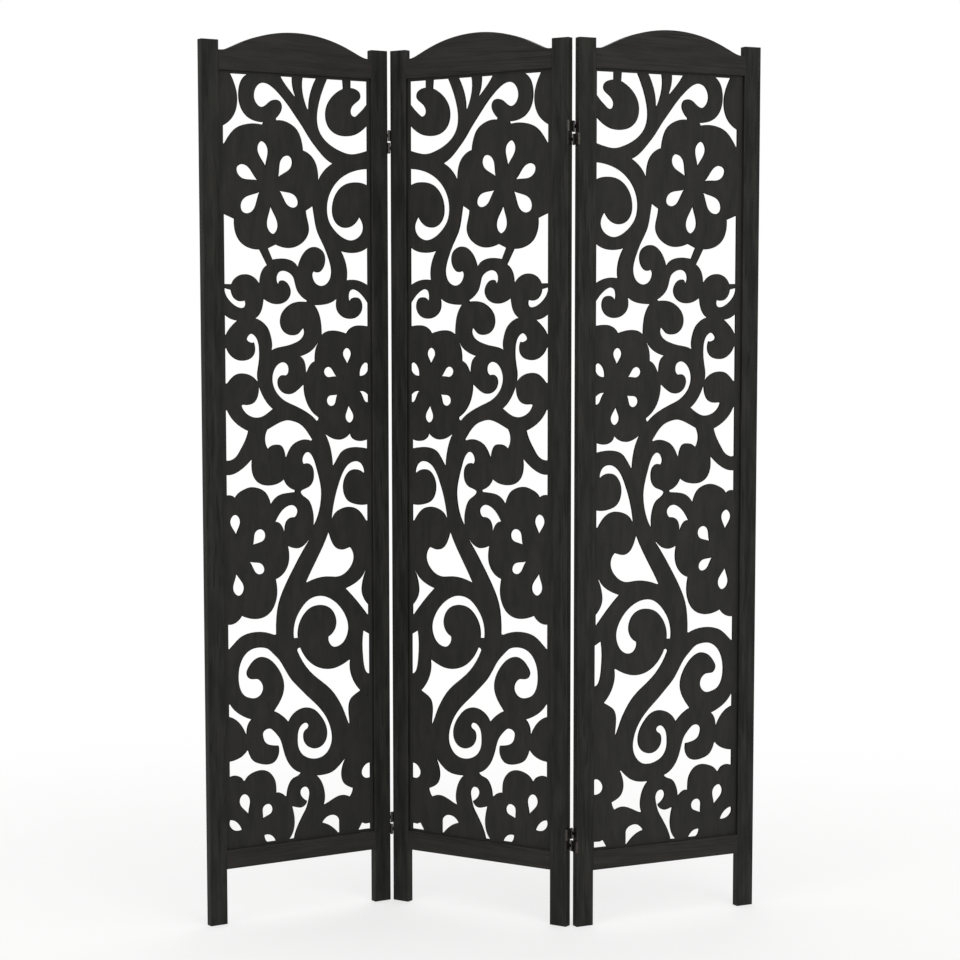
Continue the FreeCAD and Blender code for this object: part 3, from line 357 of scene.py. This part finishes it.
# The real grit is finer than this; it is drawn coarse enough to show in a close view.
hinge_steel = dark_steel("bronze_black_lacquered_steel", ("#393632", "#4A4742"), roughness=0.36,
                         metallic=0.85, grit_mm=1.2)
pin_steel = dark_steel("darkened_drawn_steel", ("#3F3C38", "#514D48"), roughness=0.32,
                       metallic=1.0, grit_mm=0.8)
screw_steel = dark_steel("black_oxide_steel", ("#2A2827", "#383534"), roughness=0.42,
                         metallic=0.9, grit_mm=0.8)
print("steel:", hinge_steel.name, pin_steel.name, screw_steel.name)

# %% [markdown]
# ## Beech of the dowels
# The dowels are hidden in their joints, but a part that is taken apart shows them: plain beech with fine
# flecks along the peg, and no stain. One plain colour would do from afar; the flecks show which way the
# grain runs.

# %% The beech finish
# Millimetres along and across the peg, drawn coarser than real flecks so that they show
beech_fleck = (9, 0.7)
beech_tones = ("#B98F62", "#D4AF82")


def beech(name, along):
    """Plain beech dowel, its grain along the rail."""
    material, tree = start_material(name)
    flecks = stretched_noise(tree, grain_axes(along, UP), beech_fleck, 3)
    toned = add(tree, "ShaderNodeValToRGB", {"Fac": flecks})
    for element, share, tone in zip(toned.color_ramp.elements, narrow_ends, beech_tones):
        element.position, element.color = share, colour(tone)
    gloss = add(tree, "ShaderNodeMapRange", {"Value": flecks, "To Min": 0.75, "To Max": 0.6})
    surface = add(tree, "ShaderNodeBsdfPrincipled", {"Base Color": toned.outputs["Color"],
                                                     "Roughness": gloss.outputs["Result"]})
    add(tree, "ShaderNodeOutputMaterial", {"Surface": surface.outputs["BSDF"]})
    return material


dowel_beech = {side: beech(f"plain_beech_{side}", along) for side, along in panel_along.items()}
print("beech:", sorted(m.name for m in dowel_beech.values()))

# %% [markdown]
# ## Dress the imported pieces
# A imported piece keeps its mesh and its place; only its material slots change. The end of a piece's name
# says what it is made of. A wooden piece's name begins with its panel, and that gives the grain's turn.

# %% Give every node its finish
def finish_of(node_name):
    """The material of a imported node, by its name."""
    side, ending = node_name.split("_")[0], node_name.split("_")[-1]
    steel = {"leaf": hinge_steel, "link": hinge_steel, "pins": pin_steel, "screws": screw_steel}
    wood = {"stile": stile_wood, "rail": rail_wood, "fretwork": board_finish, "dowels": dowel_beech}
    return steel[ending] if ending in steel else wood[ending][side]


for node_name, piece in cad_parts.items():
    for slot in piece.material_slots:
        slot.material = finish_of(node_name)
print("dressed", sum(len(piece.material_slots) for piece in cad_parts.values()), "material slots")

# %% [markdown]
# ## Floor
# The screen stands on a plain pale sheet that runs on out of sight. A sheet that is only lit goes grey
# towards its far edge and shows a horizon, so for the rays that see it the sheet melts into the white of
# the background. Near the screen it melts only in part, and the lit rest keeps the shadow.

# %% Floor sheet
# Side of the sheet in metres
floor_size = 16
sheet = bmesh.new()
bmesh.ops.create_grid(sheet, x_segments=4, y_segments=4, size=floor_size / 2)
floor_mesh = bpy.data.meshes.new("floor")
sheet.to_mesh(floor_mesh)
sheet.free()
floor = bpy.data.objects.new("floor", floor_mesh)
bpy.context.scene.collection.objects.link(floor)
print("floor sheet", floor_size, "m square")

# %% Floor finish
# The sheet's white share rises from near_white to 1 between these two distances, in metres.
lit_radius, melted_radius = 0.8, 2.4
near_white = 0.6


def flag_seen(tree):
    """1 for rays that see a surface directly, in a reflection or through glass, and 0 for the rest."""
    path = add(tree, "ShaderNodeLightPath", {})
    mirrored = add(tree, "ShaderNodeMath", {0: path.outputs["Is Glossy Ray"],
                                            1: path.outputs["Is Transmission Ray"]}, operation="MAXIMUM")
    return add(tree, "ShaderNodeMath", {0: path.outputs["Is Camera Ray"], 1: mirrored.outputs["Value"]},
               operation="MAXIMUM").outputs["Value"]


floor_finish, tree = start_material("pale_studio_sheet")
place = add(tree, "ShaderNodeTexCoord", {}).outputs["Object"]
distance = add(tree, "ShaderNodeVectorMath", {0: place}, operation="LENGTH")
far = add(tree, "ShaderNodeMapRange", {"Value": distance.outputs["Value"], "From Min": lit_radius,
                                       "From Max": melted_radius, "To Min": near_white},
          interpolation_type="SMOOTHSTEP")
melt = add(tree, "ShaderNodeMath", {0: far.outputs["Result"], 1: flag_seen(tree)}, operation="MULTIPLY")
lit = add(tree, "ShaderNodeBsdfDiffuse", {"Color": colour("#F4F4F3")})
white = add(tree, "ShaderNodeEmission", {"Color": colour("#FFFFFF"), "Strength": 1})
mixed = add(tree, "ShaderNodeMixShader", {0: melt.outputs["Value"], 1: lit.outputs["BSDF"],
                                          2: white.outputs["Emission"]})
add(tree, "ShaderNodeOutputMaterial", {"Surface": mixed.outputs["Shader"]})
floor_mesh.materials.append(floor_finish)
print("floor partly lit to", lit_radius, "m and white from", melted_radius, "m")

# %% [markdown]
# ## Studio light
# The room itself gives an even light from all sides, and a large soft lamp high at the front right shapes
# the panels. A weaker one at the front left keeps the middle panel from going flat, and one behind lights
# the back. Seen directly or in a reflection, the room is plain white.

# %% World
room_level = 0.8
world = bpy.data.worlds.new("white_studio")
bpy.context.scene.world = world
world.use_nodes = True
tree = world.node_tree
tree.nodes.clear()
# Rays that see the room find a strength of 1, which is white, and the rest find the room's own level.
level = add(tree, "ShaderNodeMath", {0: flag_seen(tree), 1: 1 - room_level, 2: room_level},
            operation="MULTIPLY_ADD")
room = add(tree, "ShaderNodeBackground", {"Color": colour("#FFFFFF"), "Strength": level.outputs["Value"]})
add(tree, "ShaderNodeOutputWorld", {"Surface": room.outputs["Background"]})
print("room light at", room_level)

# %% Lamps
# The lamps point at the middle of the screen.
aim = Vector((0, 0, 0.9))
# Name, place and side in metres, and power
for lamp_name, spot, size, watts in (("front_right_softbox", (2.6, -4.2, 2.6), 2.6, 62),
                                     ("front_left_softbox", (-3.0, -3.2, 2.0), 2.2, 34),
                                     ("back_softbox", (0.6, 3.6, 2.8), 2.2, 36)):
    data = bpy.data.lights.new(lamp_name, "AREA")
    data.shape, data.size, data.energy = "SQUARE", size, watts
    lamp = bpy.data.objects.new(lamp_name, data)
    lamp.location = spot
    lamp.rotation_euler = (aim - lamp.location).to_track_quat("-Z", "Y").to_euler()
    bpy.context.scene.collection.objects.link(lamp)
    print(lamp_name, "at", spot, "with", watts, "W")
bpy.context.scene.view_settings.view_transform = "Standard"

# %% [markdown]
# ## Camera
# The picture was taken from about 4.5 m away and a little above the middle, nearly level, with a long
# lens. The place and the lens come from fitting a pinhole camera to the corners of the stiles. A small
# shift frames the screen as the picture does, because that picture is cropped off the lens's middle.

# %% Camera of the photograph
picture_width = 960
focal_pixels = 2338.4
picture_middle = (440.2, 544.9)
stand = Vector((-0.0861, -4.5051, 1.1438))
yaw, pitch, roll = (math.radians(angle) for angle in (-0.019, 5.317, -0.127))
sensor_mm = 36

camera_data = bpy.data.cameras.new("picture_camera")
camera_data.sensor_width = sensor_mm
camera_data.lens = focal_pixels * sensor_mm / picture_width
camera_data.shift_x = (picture_width / 2 - picture_middle[0]) / picture_width
camera_data.shift_y = (picture_middle[1] - picture_width / 2) / picture_width
sight = Vector((-math.sin(yaw) * math.cos(pitch), math.cos(yaw) * math.cos(pitch), -math.sin(pitch)))
level_right = Vector((math.cos(yaw), math.sin(yaw), 0))
level_top = level_right.cross(sight)
right = math.cos(roll) * level_right + math.sin(roll) * level_top
turned = Matrix((right, right.cross(sight), -sight)).transposed().to_4x4()
camera = bpy.data.objects.new("picture_camera", camera_data)
camera.matrix_world = Matrix.Translation(stand) @ turned
bpy.context.scene.collection.objects.link(camera)
bpy.context.scene.camera = camera
print(f"camera: lens {camera_data.lens:.1f} mm,",
      f"shift {camera_data.shift_x:.3f}, {camera_data.shift_y:.3f}")
